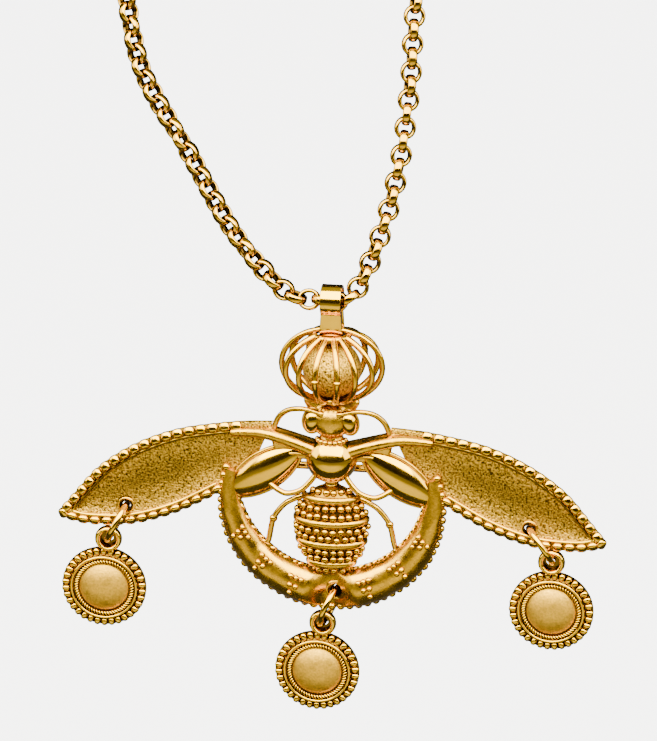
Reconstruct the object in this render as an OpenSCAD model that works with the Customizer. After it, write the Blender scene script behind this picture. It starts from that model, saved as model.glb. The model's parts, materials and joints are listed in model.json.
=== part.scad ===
// Gold pendant brooch on a chain, hung as a neck holds it.
// Millimetres. X runs to the viewer's right, Z is up, and the front faces -Y.
// The origin is the nape of the neck, where the top of the chain loop rests.

/* [Chain] */
// Diameter of the chain over its links
chain_d = 2.2; // [2:0.1:2.4]

/* [Bail] */
// Width of the folded strap where it takes the chain
bail_w = 2.1; // [1.9:0.1:2.3]
// Width of the strap where it is folded round the cage
fold_w = 2.3; // [2.1:0.1:2.4]
// Thickness of the strap
bail_t = 0.35; // [0.3:0.05:0.4]
// Play between the chain and the strap
bail_play = 0.15; // [0.12:0.01:0.3]

/* [Cage] */
// Half width of the outer ring of the cage
cage_rx = 5.4; // [5.2:0.1:5.8]
// Half height of the outer ring of the cage
cage_rz = 4.25; // [4.1:0.05:4.4]
// Radius of the cage wires
cage_wire_r = 0.3; // [0.25:0.01:0.34]
// Radius of the loose ball in the cage
core_r = 2.95; // [2.6:0.05:3]

/* [Bee] */
// Half width of the striped abdomen
abdomen_rx = 3.6; // [3.2:0.1:3.8]
// Diameter of one granule
granule_d = 0.68; // [0.6:0.02:0.74]
// Radius of the wire legs and feelers
leg_r = 0.3; // [0.25:0.01:0.36]

/* [Crescent] */
// Outer radius of the crescent
crescent_r = 11.4; // [11:0.1:11.6]
// Width of the crescent at its lowest point
crescent_w = 4.3; // [4:0.1:4.5]
// How far the beads of the crescent's edge stand out
bead_rise = 0.25; // [0.15:0.05:0.35]

/* [Wings] */
// Thickness of the wing plates
wing_t = 0.8; // [0.7:0.05:0.9]
// Width of the toothed rim
rim_w = 0.85; // [0.7:0.05:1]

/* [Drops] */
// Radius of a hanging disc over its teeth
disc_r = 4.3; // [4:0.1:4.5]
// Number of teeth round a disc
disc_teeth = 34; // [30:1:36]
// Mean radius of a jump ring
jump_r = 2.1; // [2.05:0.01:2.15]
// Radius of the jump ring's wire
jump_wire_r = 0.32; // [0.28:0.01:0.32]

/* [Pin] */
// Radius of the pin stem
stem_r = 0.4; // [0.35:0.01:0.42]
// Running clearance of the stem's eye on its rivet
rivet_play = 0.05; // [0.03:0.01:0.08]

/* [Hidden] */

gold = "#d8a93c";
gold_light = "#ecc866";
gold_deep = "#b8862c";

// Centre of the bail, which is the axis that the pendant swings on
hang = [8, -118, -105];

// Route of the chain from the clasp's left end, down through the bail and up to its right end
chain_route = [
  [-6.7, 0, 0], [-16, -0.5, -0.2], [-31, -2.5, -1], [-46, -8, -3], [-56, -19.5, -7.5],
  [-58, -35, -14], [-54, -51.5, -21], [-46, -66, -28.5], [-36.5, -78, -37],
  [-27.5, -88, -46], [-20.5, -96.5, -56], [-16.4, -103.3, -66.5], [-14.4, -107.8, -76],
  [-12.2, -110.8, -84.2], [-7.4, -113.2, -91.4], [-2.6, -115.8, -98.6], [1.4, -117.3, -102.9],
  [4.2, -117.9, -104.9], [6.6, -118, -105], [8, -118, -105], [9.4, -118, -105],
  [11, -117.3, -102.8], [13, -115.3, -97.2], [14.3, -113, -90.8], [14.9, -110.4, -83.2],
  [15.1, -107.8, -76], [16.9, -103.3, -66.5], [20.5, -96.5, -56], [27.5, -88, -46],
  [36.5, -78, -37], [46, -66, -28.5], [54, -51.5, -21], [58, -35, -14],
  [56, -19.5, -7.5], [46, -8, -3], [31, -2.5, -1], [16, -0.5, -0.2], [6.7, 0, 0]
];
chain_sides = 8;

bail_in_r = chain_d / 2 + bail_play;
bail_out_r = bail_in_r + bail_t;
cage_z = -7.1;
ring_top_z = cage_z + cage_rz - cage_wire_r;
fold_in_r = cage_wire_r + 0.22;
fold_out_r = fold_in_r + bail_t;

// Centre of the loose ball, which rests low in the cage
core_z = -7.5;

// Inner cage wires: meridians of a smaller ellipsoid between two collars
inner_rx = 5;
inner_ry = 4.5;
inner_rz = 3.6;
collar_r = 1.75;
collar_angle = asin(collar_r / inner_rx);
meridian_turns = [13, 35, 61, 119, 145, 167];

// Flat back of everything that is soldered to the wings
back_y = 0.6;

// Wing outline: a row for each section, from the root to the tip
W_TOP_X = 0;
W_TOP_Z = 1;
W_LOW_X = 2;
W_LOW_Z = 3;
wing_sections = [
  // top edge x, z, lower edge x, z
  [6, -13.7, 8.4, -19.6],
  [9, -13.9, 10.6, -21.2],
  [12.2, -14.4, 12.9, -22.6],
  [15.4, -15.1, 15.4, -24],
  [18.5, -16.3, 18.1, -25.1],
  [21.3, -17.9, 20.8, -25.8],
  [23.9, -20, 23.4, -26],
  [26, -22.6, 25.7, -25.9],
  [27.7, -24.8, 27.6, -25.35]
];
// Front of the wing from its edge inwards: share of the rim width, depth in thicknesses
RIM_IN = 0;
RIM_Y = 1;
rim_steps = [[0, -0.4], [0.95, -0.5], [1.3, -0.05]];
notch_steps = [[0.25, -0.2], [0.85, -0.3], [1.3, -0.05]];

// Hanging discs: a row for each
D_X = 0;
D_Z = 1;
D_LEAN = 2;
D_TURN = 3;
D_TILT = 4;
drops = [
  // hole x, hole z, lean of the jump ring, its turn, tilt of the disc
  [-20.95, -23.85, -25.5, 84, -5],
  [0.5, -31.65, -20, 78, -6],
  [20, -23.9, 33, 110, 0]
];
drop_hole_r = 0.7;
eyelet_r = 1.1;
disc_loop_r = 1.4;
disc_loop_half = 0.55;
disc_hole_r = 0.8;
disc_loop_drop = 5.35;
disc_back = 0.45;

// Pin across the back
pin_z = -19.3;
pin_y = 2.2;
pin_hinge_x = -8.4;
pin_catch_x = 7.9;
rivet_r = 0.35;
knuckle_r = 0.85;
knuckle_h = 1.2;
ear_t = 0.6;
ear_gap = 0.06;
plate_y = back_y + 0.05;
plate_t = 0.35;

function unit(v) = v / norm(v);
function across(n, t) = unit(n - (n * t) * t);
function mid_curve(a, b, c, d) = (9 * (b + c) - a - d) / 16;

// A route with one more point, on a smooth curve, between each two
function smooth(p) = [
  for (i = [0 : len(p) - 2])
    each [p[i], mid_curve(p[max(i - 1, 0)], p[i], p[i + 1], p[min(i + 2, len(p) - 1)])],
  p[len(p) - 1]
];
function tangents(p, closed) = let(last = len(p) - 1) [
  for (i = [0 : last])
    closed
      ? unit(p[(i + 1) % (last + 1)] - p[(i + last) % (last + 1)])
      : unit(p[min(i + 1, last)] - p[max(i - 1, 0)])
];
function carried(t, i, n) = i == len(t) ? [] : let(m = across(n, t[i])) concat([m], carried(t, i + 1, m));

// A round wire swept along points, as one polyhedron
module wire(p, r, sides, start, closed = false) {
  t = tangents(p, closed);
  n = carried(t, 0, start);
  rings = len(p);
  spokes = [for (s = [0 : sides - 1]) 360 * (s + 0.5) / sides];
  corners = [
    for (i = [0 : rings - 1])
      for (s = spokes)
        p[i] + r * (cos(s) * n[i] + sin(s) * cross(t[i], n[i]))
  ];
  walls = [
    for (i = [0 : rings - (closed ? 1 : 2)])
      for (s = [0 : sides - 1])
        let(a = i * sides + s,
            b = i * sides + (s + 1) % sides,
            c = ((i + 1) % rings) * sides + (s + 1) % sides,
            d = ((i + 1) % rings) * sides + s)
          each [[a, d, c], [a, c, b]]
  ];
  caps = closed ? [] : [
    [for (s = [0 : sides - 1]) s],
    [for (s = [sides - 1 : -1 : 0]) (rings - 1) * sides + s]
  ];
  polyhedron(points = corners, faces = concat(walls, caps), convexity = 6);
}

// A closed skin over sections that all have the same number of points
module skin(sections) {
  m = len(sections[0]);
  k = len(sections);
  walls = [
    for (i = [0 : k - 2])
      for (s = [0 : m - 1])
        let(a = i * m + s,
            b = i * m + (s + 1) % m,
            c = (i + 1) * m + (s + 1) % m,
            d = (i + 1) * m + s)
          each [[a, b, c], [a, c, d]]
  ];
  caps = [
    [for (s = [m - 1 : -1 : 0]) s],
    [for (s = [0 : m - 1]) (k - 1) * m + s]
  ];
  polyhedron(points = [for (q = sections) each q], faces = concat(walls, caps), convexity = 6);
}

module at_pendant() {
  translate(hang) children();
}

module egg(centre, radii, fn = 24) {
  translate(centre)
    scale(radii)
      sphere(r = 1, $fn = fn);
}

// A leg or feeler: a wire through its joints
module limb(p, r) {
  wire(smooth(p), r, 5, [0, 1, 0.01]);
}

module both_sides() {
  children();
  mirror([1, 0, 0]) children();
}

// Chain and clasp
module chain() {
  color(gold_light)
    wire(smooth(chain_route), chain_d / 2, chain_sides, [0, 0, 1]);
}

clasp_len = 8;
clasp_r = 1.9;
clasp_loop_r = 1;
clasp_wire_r = 0.35;

module clasp() {
  color(gold_light) {
    rotate([0, 90, 0])
      cylinder(r = clasp_r, h = clasp_len - 2, center = true, $fn = 48);
    for (side = [-1, 1]) {
      translate([side * (clasp_len / 2 - 1), 0, 0])
        rotate([0, side * 90, 0])
          cylinder(r1 = clasp_r, r2 = clasp_r - 0.8, h = 1, $fn = 48);
      translate([side * (clasp_len / 2 + clasp_loop_r), 0, 0])
        rotate_extrude($fn = 48)
          translate([clasp_loop_r + 0.2, 0])
            circle(r = clasp_wire_r, $fn = 24);
    }
  }
}

// Bail: one strap folded round the chain above and round the cage's outer ring below
module bail() {
  color(gold_light)
    at_pendant()
      difference() {
        union() {
          rotate([0, 90, 0])
            cylinder(r = bail_out_r, h = bail_w, center = true, $fn = 64);
          translate([0, 0, ring_top_z])
            rotate([0, 90, 0])
              cylinder(r = fold_out_r, h = fold_w, center = true, $fn = 48);
          translate([0, 0, (ring_top_z - bail_in_r) / 2])
            cube([bail_w, 2 * bail_t + 0.3, -ring_top_z - bail_in_r], center = true);
        }
        rotate([0, 90, 0])
          cylinder(r = bail_in_r, h = fold_w + 1, center = true, $fn = 64);
        translate([0, 0, ring_top_z])
          rotate([0, 90, 0])
            cylinder(r = fold_in_r, h = fold_w + 1, center = true, $fn = 48);
      }
}

// Cage of wires
function ring_point(rx, rz, a) = [rx * sin(a), 0, cage_z + rz * cos(a)];
function meridian_point(turn, a) = [
  inner_rx * sin(turn) * sin(a),
  -inner_ry * cos(turn) * sin(a),
  cage_z + inner_rz * cos(a)
];

module cage_wires() {
  ring = [for (a = [0 : 18 : 342]) ring_point(cage_rx - cage_wire_r, cage_rz - cage_wire_r, a)];
  wire(ring, cage_wire_r, 5, [0, 1, 0], closed = true);
  step = (180 - 2 * collar_angle) / 7;
  for (side = [-1, 1])
    for (turn = meridian_turns) {
      path = [for (i = [0 : 7]) meridian_point(side * turn, collar_angle + i * step)];
      wire(path, cage_wire_r - 0.02, 5, [cos(turn), side * sin(turn), 0]);
    }
  for (end = [-1, 1]) {
    h = cage_z + end * inner_rz * cos(collar_angle);
    collar = [
      for (a = [0 : 36 : 324])
        [collar_r * sin(a), -collar_r * inner_ry / inner_rx * cos(a), h]
    ];
    wire(collar, cage_wire_r, 5, [0, 0, 1], closed = true);
  }
  // solder web that joins the collars to the outer ring and the ring to the head
  for (side = [-1, 1]) {
    hull() {
      translate([side * 1.6, 0, cage_z - inner_rz * cos(collar_angle)]) sphere(r = 0.35, $fn = 6);
      translate([side * 1.8, 0, cage_z - cage_rz + 0.45]) sphere(r = 0.35, $fn = 6);
    }
    hull() {
      translate([side * 1.7, 0, cage_z + inner_rz * cos(collar_angle)]) sphere(r = 0.3, $fn = 6);
      translate([side * 2, 0, cage_z + cage_rz * 0.86]) sphere(r = 0.3, $fn = 6);
    }
    hull() {
      translate([side * 0.8, -0.1, cage_z - cage_rz + 0.05]) sphere(r = 0.5, $fn = 8);
      translate([side * 2.4, -0.1, cage_z - cage_rz + 0.35]) sphere(r = 0.5, $fn = 8);
      translate([side * 1.4, -0.3, -12.2]) sphere(r = 0.7, $fn = 8);
    }
  }
  hull() {
    translate([-1.5, 0, cage_z - cage_rz + 0.1]) sphere(r = 0.4, $fn = 6);
    translate([1.5, 0, cage_z - cage_rz + 0.1]) sphere(r = 0.4, $fn = 6);
  }
}

module cage_core() {
  color(gold_deep)
    at_pendant()
      translate([0, 0, core_z])
        sphere(r = core_r, $fn = 64);
}

// Cuts what is soldered to the wings flat at the back
module flat_backed() {
  intersection() {
    children();
    translate([-15, back_y - 6, -35])
      cube([30, 6, 35]);
  }
}

// Head with an oval eye on each side, a neck and two feelers that curl back to the wings
module head() {
  egg([0, -0.4, -13], [2.1, 1.5, 1.85], 16);
  egg([0, -0.3, -15], [1.3, 1.1, 0.7], 12);
  both_sides() {
    egg([1.85, -0.8, -12.9], [0.95, 1, 1.35], 12);
    limb([[0.9, -1.3, -12], [2.6, -1.2, -11.6], [4.3, -0.7, -12], [5.4, -0.3, -13.1], [6, -0.1, -14.7]], leg_r);
  }
}

// Thorax, striped abdomen and legs
thorax = [0, -0.2, -17.3];
thorax_radii = [2.6, 2.3, 2.5];
abdomen = [0, -0.3, -24.9];
abdomen_ry = 2.1;
abdomen_rz = 5;
abdomen_end = 0.95;
abdomen_taper = 0.12;
granule_rows = 2 * floor(abdomen_end * abdomen_rz / granule_d);
granule_columns = 11;
granule_lift = 0.4 * granule_d;
// Rows from one smooth band of the abdomen to the next
stripe_rows = 3;
back_angles = [112, 146, 180, 214, 248];

// Every other level is a row: a smooth raised band, or granules at every other point
function abdomen_lift(i, j) =
  let(row = floor(i / 2))
    i % 2 == 0 ? 0 : row % stripe_rows == 1 || (j + row) % 2 == 1 ? granule_lift : 0;
function abdomen_section(i) =
  let(h = abdomen_end * (i / granule_rows - 1), belt = sqrt(1 - h * h) * (1 + abdomen_taper * h))
  [
    for (j = [0 : 2 * granule_columns])
      let(a = 90 - 180 * j / (2 * granule_columns), lift = abdomen_lift(i, j))
        abdomen + [(abdomen_rx * belt + lift) * sin(a), -(abdomen_ry * belt + lift) * cos(a), abdomen_rz * h],
    for (a = back_angles)
      abdomen + [-abdomen_rx * belt * sin(a), -abdomen_ry * belt * cos(a), abdomen_rz * h]
  ];

module bee_body() {
  flat_backed()
    egg(thorax, thorax_radii, 18);
  skin([for (i = [0 : 2 * granule_rows]) abdomen_section(i)]);
  hull() {
    egg([0, -0.2, -28.6], [1.1, 0.8, 0.8], 12);
    egg([0, 0, -30.1], [0.4, 0.3, 0.3], 8);
  }
  limb([[0, 0, -19.4], [0, 0, -20.2], [0, 0, -21]], 0.7);
  both_sides() {
    limb([[1.5, -1, -18.8], [2.8, -1.4, -20.3], [4.6, -1.3, -20.9], [6.2, -0.7, -20.2]], leg_r);
    limb([[2.4, -0.35, -21.5], [4.5, -0.4, -22.35], [5.9, -0.3, -24.2], [6.4, -0.2, -26.6], [7.4, 0, -28.8]], leg_r);
  }
}

// Small domed hind wing, which covers the end of the pin
module hind_wing() {
  flat_backed()
    translate([6.8, 0, -19.1])
      rotate([0, 37, 0])
        scale([4.6, 1.2, 1.95])
          sphere(r = 1, $fn = 18);
}

// Plate and thick leading vein between the thorax and the wing
module wing_root() {
  translate([0, back_y, 0])
    rotate([90, 0, 0])
      linear_extrude(height = 1)
        polygon([[1.8, -15.4], [6.3, -14], [8.6, -19.4], [5.4, -17.6], [2.2, -17.6]]);
  limb([[1.6, -0.6, -16.4], [4.2, -0.7, -15.4], [7.2, -0.5, -14.83], [10.1, -0.28, -15.07]], 0.65);
}

// Drills the hole of a drop and puts a short eyelet behind it
module drilled(drop) {
  difference() {
    union() {
      children();
      translate([drop[D_X], back_y - 0.45, drop[D_Z]])
        rotate([-90, 0, 0])
          cylinder(r = eyelet_r, h = 0.5, $fn = 12);
    }
    translate([drop[D_X], 0, drop[D_Z]])
      rotate([90, 0, 0])
        cylinder(r = drop_hole_r, h = 4, center = true, $fn = 12);
  }
}

// Crescent moon: degrees are counted from its lowest point
crescent_z = -22.4;
crescent_end = 108;
crescent_thins = 3;
crescent_beads = 46;
// Degrees over which the crescent flattens towards the hole of the middle drop, and how thin it gets there
flat_span = 17;
flat_front = 0.45;
// Depth of the crescent's front, as a share of its width
front_share = 0.44;

function crescent_width(a) = crescent_w - crescent_thins * pow(abs(a) / crescent_end, 2);
function crescent_front(a) =
  let(s = min(1, abs(a) / flat_span))
    flat_front + (front_share * crescent_width(a) - flat_front) * s * s * (3 - 2 * s);
function on_crescent(a, r) = [r * sin(a), 0, crescent_z - r * cos(a)];
// Every other section is a bead, which stands out at the outer edge
function crescent_section(i) =
  let(a = crescent_end * (i / crescent_beads - 1),
      w = crescent_width(a),
      mid = crescent_r - w / 2,
      front = crescent_front(a),
      back = min(back_y, front),
      rise = i % 2 == 1 ? bead_rise : 0)
  [
    for (s = [0, 18, 36, 58, 90, 122, 151, 180])
      on_crescent(a, mid + w / 2 * cos(s) + (s < 40 ? rise : 0)) - [0, front * sin(s) + (s < 40 ? rise : 0), 0],
    for (s = [216, 252, 288, 324])
      on_crescent(a, mid + w / 2 * cos(s) + (s > 300 ? rise : 0)) - [0, back * sin(s), 0]
  ];

module crescent() {
  drilled(drops[1])
    skin([for (i = [0 : 2 * crescent_beads]) crescent_section(i)]);
}

// Wings: a plate with a dished field and a raised rim, toothed by every other section
wing_rows = smooth(smooth(smooth(wing_sections)));
function wing_profile(i) =
  let(q = wing_rows[i],
      top = [q[W_TOP_X], 0, q[W_TOP_Z]],
      low = [q[W_LOW_X], 0, q[W_LOW_Z]],
      tall = norm(top - low),
      down = (low - top) / tall,
      rim = min(rim_w, tall / 3),
      steps = i % 2 == 0 ? rim_steps : notch_steps,
      edge = rim * steps[0][RIM_IN])
  concat(
    [top + edge * down + [0, wing_t / 2, 0]],
    [for (k = [0 : 2]) top + rim * steps[k][RIM_IN] * down + [0, wing_t * steps[k][RIM_Y], 0]],
    [(top + low) / 2 + [0, wing_t * min(0.15, tall / 50), 0]],
    [for (k = [2 : -1 : 0]) low - rim * steps[k][RIM_IN] * down + [0, wing_t * steps[k][RIM_Y], 0]],
    [low - edge * down + [0, wing_t / 2, 0]]
  );

// The right wing, or the left one if side is -1, with the hole for its drop
module wing(side) {
  drilled(drops[side + 1])
    mirror([side < 0 ? 1 : 0, 0, 0])
      skin([for (i = [len(wing_rows) - 1 : -1 : 0]) wing_profile(i)]);
}

module brooch_body() {
  color(gold)
    at_pendant() {
      cage_wires();
      head();
      bee_body();
      both_sides() {
        wing_root();
        hind_wing();
      }
      wing(-1);
      wing(1);
      crescent();
    }
}

// Hanging discs and their jump rings
module drop_place(row) {
  at_pendant()
    translate([row[D_X], 0, row[D_Z]])
      rotate([0, -row[D_LEAN], 0])
        children();
}

module jump_ring(row) {
  color(gold_light)
    drop_place(row)
      translate([0, 0, -jump_r])
        rotate([0, 0, row[D_TURN]])
          rotate([90, 0, 0])
            rotate_extrude($fn = 64)
              translate([jump_r, 0])
                circle(r = jump_wire_r, $fn = 24);
}

function disc_outline() = [
  for (i = [0 : disc_teeth - 1])
    for (q = [[0, 0.9], [0.12, 1], [0.45, 1], [0.57, 0.9]])
      let(a = 360 * (i + q[0]) / disc_teeth) disc_r * q[1] * [cos(a), sin(a)]
];

module disc(row) {
  color(gold)
    drop_place(row)
      translate([0, 0, -2 * jump_r])
        rotate([0, row[D_LEAN] - row[D_TILT], 0])
          rotate([90, 0, 0])
            difference() {
              union() {
                translate([0, -disc_loop_drop, -disc_back])
                  linear_extrude(height = 2 * disc_back)
                    polygon(disc_outline());
                translate([0, -disc_loop_drop, 0])
                  rotate_extrude($fn = 72)
                    polygon([[0, 0], [3.5, 0], [3.5, 0.55], [3.3, 0.7], [2.6, 0.6], [2.45, 0.45],
                             [1.7, 0.75], [0.9, 0.9], [0, 0.95]]);
                translate([0, 0, -disc_loop_half])
                  cylinder(r = disc_loop_r, h = 2 * disc_loop_half, $fn = 48);
              }
              translate([0, 0, -2])
                cylinder(r = disc_hole_r, h = 4, $fn = 48);
            }
}

module jump_ring_left() { jump_ring(drops[0]); }
module jump_ring_centre() { jump_ring(drops[1]); }
module jump_ring_right() { jump_ring(drops[2]); }
module disc_left() { disc(drops[0]); }
module disc_centre() { disc(drops[1]); }
module disc_right() { disc(drops[2]); }

// Pin across the back: hinge, rivet, stem and catch
module at_pin() {
  at_pendant()
    translate([pin_hinge_x, pin_y, pin_z])
      children();
}

module pin_hinge() {
  ear_low = knuckle_h / 2 + ear_gap;
  color(gold_deep)
    at_pin()
      difference() {
        union() {
          translate([-1.3, plate_y - pin_y, -ear_low - ear_t])
            cube([2.6, plate_t, 2 * (ear_low + ear_t)]);
          for (z = [-ear_low - ear_t, ear_low])
            translate([0, 0, z]) {
              cylinder(r = knuckle_r, h = ear_t, $fn = 48);
              translate([-knuckle_r, plate_y - pin_y, 0])
                cube([2 * knuckle_r, pin_y - plate_y, ear_t]);
            }
        }
        translate([0, 0, -4])
          cylinder(r = rivet_r + 0.02, h = 8, $fn = 48);
      }
}

module pin_rivet() {
  half = knuckle_h / 2 + ear_gap + ear_t + 0.02;
  color(gold_light)
    at_pin() {
      translate([0, 0, -half])
        cylinder(r = rivet_r, h = 2 * half, $fn = 48);
      for (z = [-half - 0.2, half])
        translate([0, 0, z])
          cylinder(r = rivet_r + 0.2, h = 0.2, $fn = 48);
    }
}

module pin_stem() {
  reach = pin_catch_x - pin_hinge_x;
  color(gold_light)
    at_pin()
      difference() {
        union() {
          translate([0, 0, -knuckle_h / 2])
            cylinder(r = knuckle_r, h = knuckle_h, $fn = 48);
          rotate([0, 90, 0])
            cylinder(r = stem_r, h = reach, $fn = 32);
          translate([reach, 0, 0])
            rotate([0, 90, 0])
              cylinder(r1 = stem_r, r2 = 0.08, h = 2, $fn = 32);
        }
        translate([0, 0, -2])
          cylinder(r = rivet_r + rivet_play, h = 4, $fn = 48);
      }
}

module pin_catch() {
  cheek = stem_r + 0.1;
  color(gold_deep)
    at_pendant()
      translate([pin_catch_x, 0, pin_z])
        difference() {
          union() {
            translate([-1.2, plate_y, -1.3])
              cube([2.4, plate_t, 2.6]);
            translate([-0.7, plate_y, -cheek - 0.45])
              cube([1.4, pin_y + 0.5 - plate_y, 2 * cheek + 0.9]);
          }
          translate([-2, pin_y, 0])
            rotate([0, 90, 0])
              cylinder(r = cheek, h = 4, $fn = 32);
          translate([-2, pin_y, -cheek])
            cube([4, 4, 2 * cheek]);
        }
}

chain();
clasp();
bail();
brooch_body();
cage_core();
pin_hinge();
pin_catch();
pin_rivet();
pin_stem();
jump_ring_left();
jump_ring_centre();
jump_ring_right();
disc_left();
disc_centre();
disc_right();
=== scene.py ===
"""Dresses a gold pendant brooch and its chain: fine meshes and gilded finishes round the frame."""

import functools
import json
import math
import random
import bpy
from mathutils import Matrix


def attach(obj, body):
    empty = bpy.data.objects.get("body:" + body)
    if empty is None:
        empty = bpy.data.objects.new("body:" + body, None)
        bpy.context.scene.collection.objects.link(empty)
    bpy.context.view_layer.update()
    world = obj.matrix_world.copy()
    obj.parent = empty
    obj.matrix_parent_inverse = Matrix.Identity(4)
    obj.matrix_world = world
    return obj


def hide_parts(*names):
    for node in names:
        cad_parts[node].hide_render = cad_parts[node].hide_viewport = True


bl_info = {
    "name": "Gold pendant brooch",
    "version": (1, 0, 0),
    "blender": (4, 5, 0),
    "location": "3D View > Sidebar > Pendant brooch",
    "description": "Builds a gold bee and crescent brooch that hangs on a belcher chain",
    "category": "Add Mesh",
}

import types

import bmesh
import bpy
import numpy as np
from bpy.props import FloatProperty, FloatVectorProperty, IntProperty, PointerProperty
from bpy.types import Operator, Panel, PropertyGroup
from mathutils import Vector

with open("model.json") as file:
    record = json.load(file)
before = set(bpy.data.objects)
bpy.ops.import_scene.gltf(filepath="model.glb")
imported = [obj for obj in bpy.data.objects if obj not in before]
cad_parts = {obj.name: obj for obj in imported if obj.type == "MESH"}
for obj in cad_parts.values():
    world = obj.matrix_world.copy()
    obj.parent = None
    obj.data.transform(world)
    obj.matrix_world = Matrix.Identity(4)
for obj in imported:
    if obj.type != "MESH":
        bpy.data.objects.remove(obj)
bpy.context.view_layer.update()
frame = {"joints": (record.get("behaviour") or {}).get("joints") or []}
MM = 0.001
SEED = 7


def joint_place(name):
    """The point of a joint in the frame, in millimetres."""
    return next(np.array(j["pos_m"]) / MM for j in frame["joints"] if j["name"] == name)


# Centre of the bail. Every place on the pendant below is measured from it, in millimetres
HANG = joint_place("pendant_swing")
# Axis of the pin's hinge
PIN = joint_place("pin_swing") - HANG

# Route of the chain: round the neck from the clasp's left end, then down the front and through
# the bail. The right side goes round the neck as the left does
NECK_ROUTE = [
    (-6.7, 0, 0), (-16, -0.5, -0.2), (-31, -2.5, -1), (-46, -8, -3), (-56, -19.5, -7.5),
    (-58, -35, -14), (-54, -51.5, -21), (-46, -66, -28.5), (-36.5, -78, -37),
    (-27.5, -88, -46), (-20.5, -96.5, -56),
]
FRONT_ROUTE = [
    (-16.4, -103.3, -66.5), (-14.4, -107.8, -76), (-12.2, -110.8, -84.2), (-7.4, -113.2, -91.4),
    (-2.6, -115.8, -98.6), (1.4, -117.3, -102.9), (4.2, -117.9, -104.9), (6.6, -118, -105),
    (8, -118, -105), (9.4, -118, -105), (11, -117.3, -102.8), (13, -115.3, -97.2),
    (14.3, -113, -90.8), (14.9, -110.4, -83.2), (15.1, -107.8, -76), (16.9, -103.3, -66.5),
]
CHAIN_ROUTE = [*NECK_ROUTE, *FRONT_ROUTE, *[(-x, y, z) for x, y, z in NECK_ROUTE[::-1]]]
# Points round a link and round its band. With more, the whole chain has too many faces
LINK_SIDES = 22
BAND_SIDES = 14
# How square the band's section is: two would be an oval
BAND_SQUARE = 2.6

# Cage: the ellipsoid that the inner wires lie on, and how far each wire turns from the front
CAGE_Z = -7.1
INNER_RADII = (5, 4.5, 3.6)
COLLAR_R = 1.75
# Height of the collars, as a share of the ellipsoid's
COLLAR_SHARE = 0.937
WIRE_TURNS = (13, 35, 61, 119, 145, 167)
BALL_Z = -7.5

# Bee
THORAX = (0, -0.2, -17.3)
THORAX_RADII = (2.6, 2.3, 2.5)
ABDOMEN = (0, -0.3, -24.9)
ABDOMEN_DEPTH = 2.1
ABDOMEN_END = 0.95
ABDOMEN_TAPER = 0.12
# Rows of granules: one in each few is a smooth stripe instead
ABDOMEN_ROWS = 12
STRIPE_ROWS = 3
# Distance from granule to granule, in diameters
GRANULE_STEP = 1.1
HIND_WING = (6.8, 0, -19.1)
HIND_RADII = (4.6, 1.2, 1.95)
HIND_TURN = 37
BACK_Y = 0.6

# Crescent: degrees are counted from its lowest point
CRESCENT_Z = -22.4
CRESCENT_END = 108
# How much narrower its ends are, and how far it stands forward as a share of its width
CRESCENT_THINS = 3
CRESCENT_DEEP = 0.44
CRESCENT_BEADS = 46
# It is flatter round the middle drop's hole
FLAT_SPAN = 17
FLAT_FRONT = 0.45
ROPE_TURNS = 26
ROPE_R = 0.13
CLUSTER_ANGLES = (24, 48, 70)
# Rows of a cluster: granules, and their turn round the crescent's section
CLUSTER_ROWS = ((3, 116), (2, 92), (1, 68))
CLUSTER_STEP = 0.62

# Wing outline: top edge x and z, lower edge x and z, from the root to the tip
WING_SECTIONS = [
    (6, -13.7, 8.4, -19.6), (9, -13.9, 10.6, -21.2), (12.2, -14.4, 12.9, -22.6),
    (15.4, -15.1, 15.4, -24), (18.5, -16.3, 18.1, -25.1), (21.3, -17.9, 20.8, -25.8),
    (23.9, -20, 23.4, -26), (26, -22.6, 25.7, -25.9), (27.7, -24.8, 27.6, -25.35),
]
TOOTH_LEAN_DEG = 26
# Half length of a tooth as a share of the step, its height in half plates, its half width in rims
TOOTH_SHARES = (0.44, 1.05, 0.58)

# Drops: hole x and z, lean of the jump ring, its turn, tilt of the disc
DROPS = {
    "left": (-20.95, -23.85, -25.5, 84, -5),
    "centre": (0.5, -31.65, -20, 78, -6),
    "right": (20, -23.9, 33, 110, 0),
}
# Disc: radii of its dome, rope ring and plain ring, and how far its middle hangs below its loop's
DOME_R = 2.5
ROPE_RING_R = 2.84
ROPE_STROKES = 62
PLAIN_RING_R = 3.3
LOOP_R = 1.09
DISC_HANGS = 5.35
# A drop's hole is countersunk: wide in front, and just wider than the jump ring's wire behind
HOLE_R = 0.68
BACK_HOLE_R = 0.43


def linear(code):
    """An sRGB hex colour such as #d8a93c as linear red, green and blue."""
    parts = [int(code[i:i + 2], 16) / 255 for i in (1, 3, 5)]
    return tuple(c / 12.92 if c <= 0.04045 else ((c + 0.055) / 1.055) ** 2.4 for c in parts)


def length(name, note, millimetres):
    """A size that the user can change, kept in metres as Blender shows lengths."""
    return FloatProperty(
        name=name, description=note, default=millimetres * MM, unit="LENGTH", min=0.05 * MM, precision=5
    )


def colour(name, note, code):
    """A colour that the user can change."""
    return FloatVectorProperty(
        name=name, description=note, default=linear(code), subtype="COLOR", size=3, min=0, max=1
    )


class ChainSizes(PropertyGroup):
    link_d: length("Link", "Width of a link over its band", 2.24)
    link_thick: length("Link thickness", "Thickness of a link's band, from its hole outwards", 0.44)
    link_wide: length("Link band", "Width of a link's band, along its hole", 0.84)
    link_step: length("Step", "Distance from one link to the next", 1.4)


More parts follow.
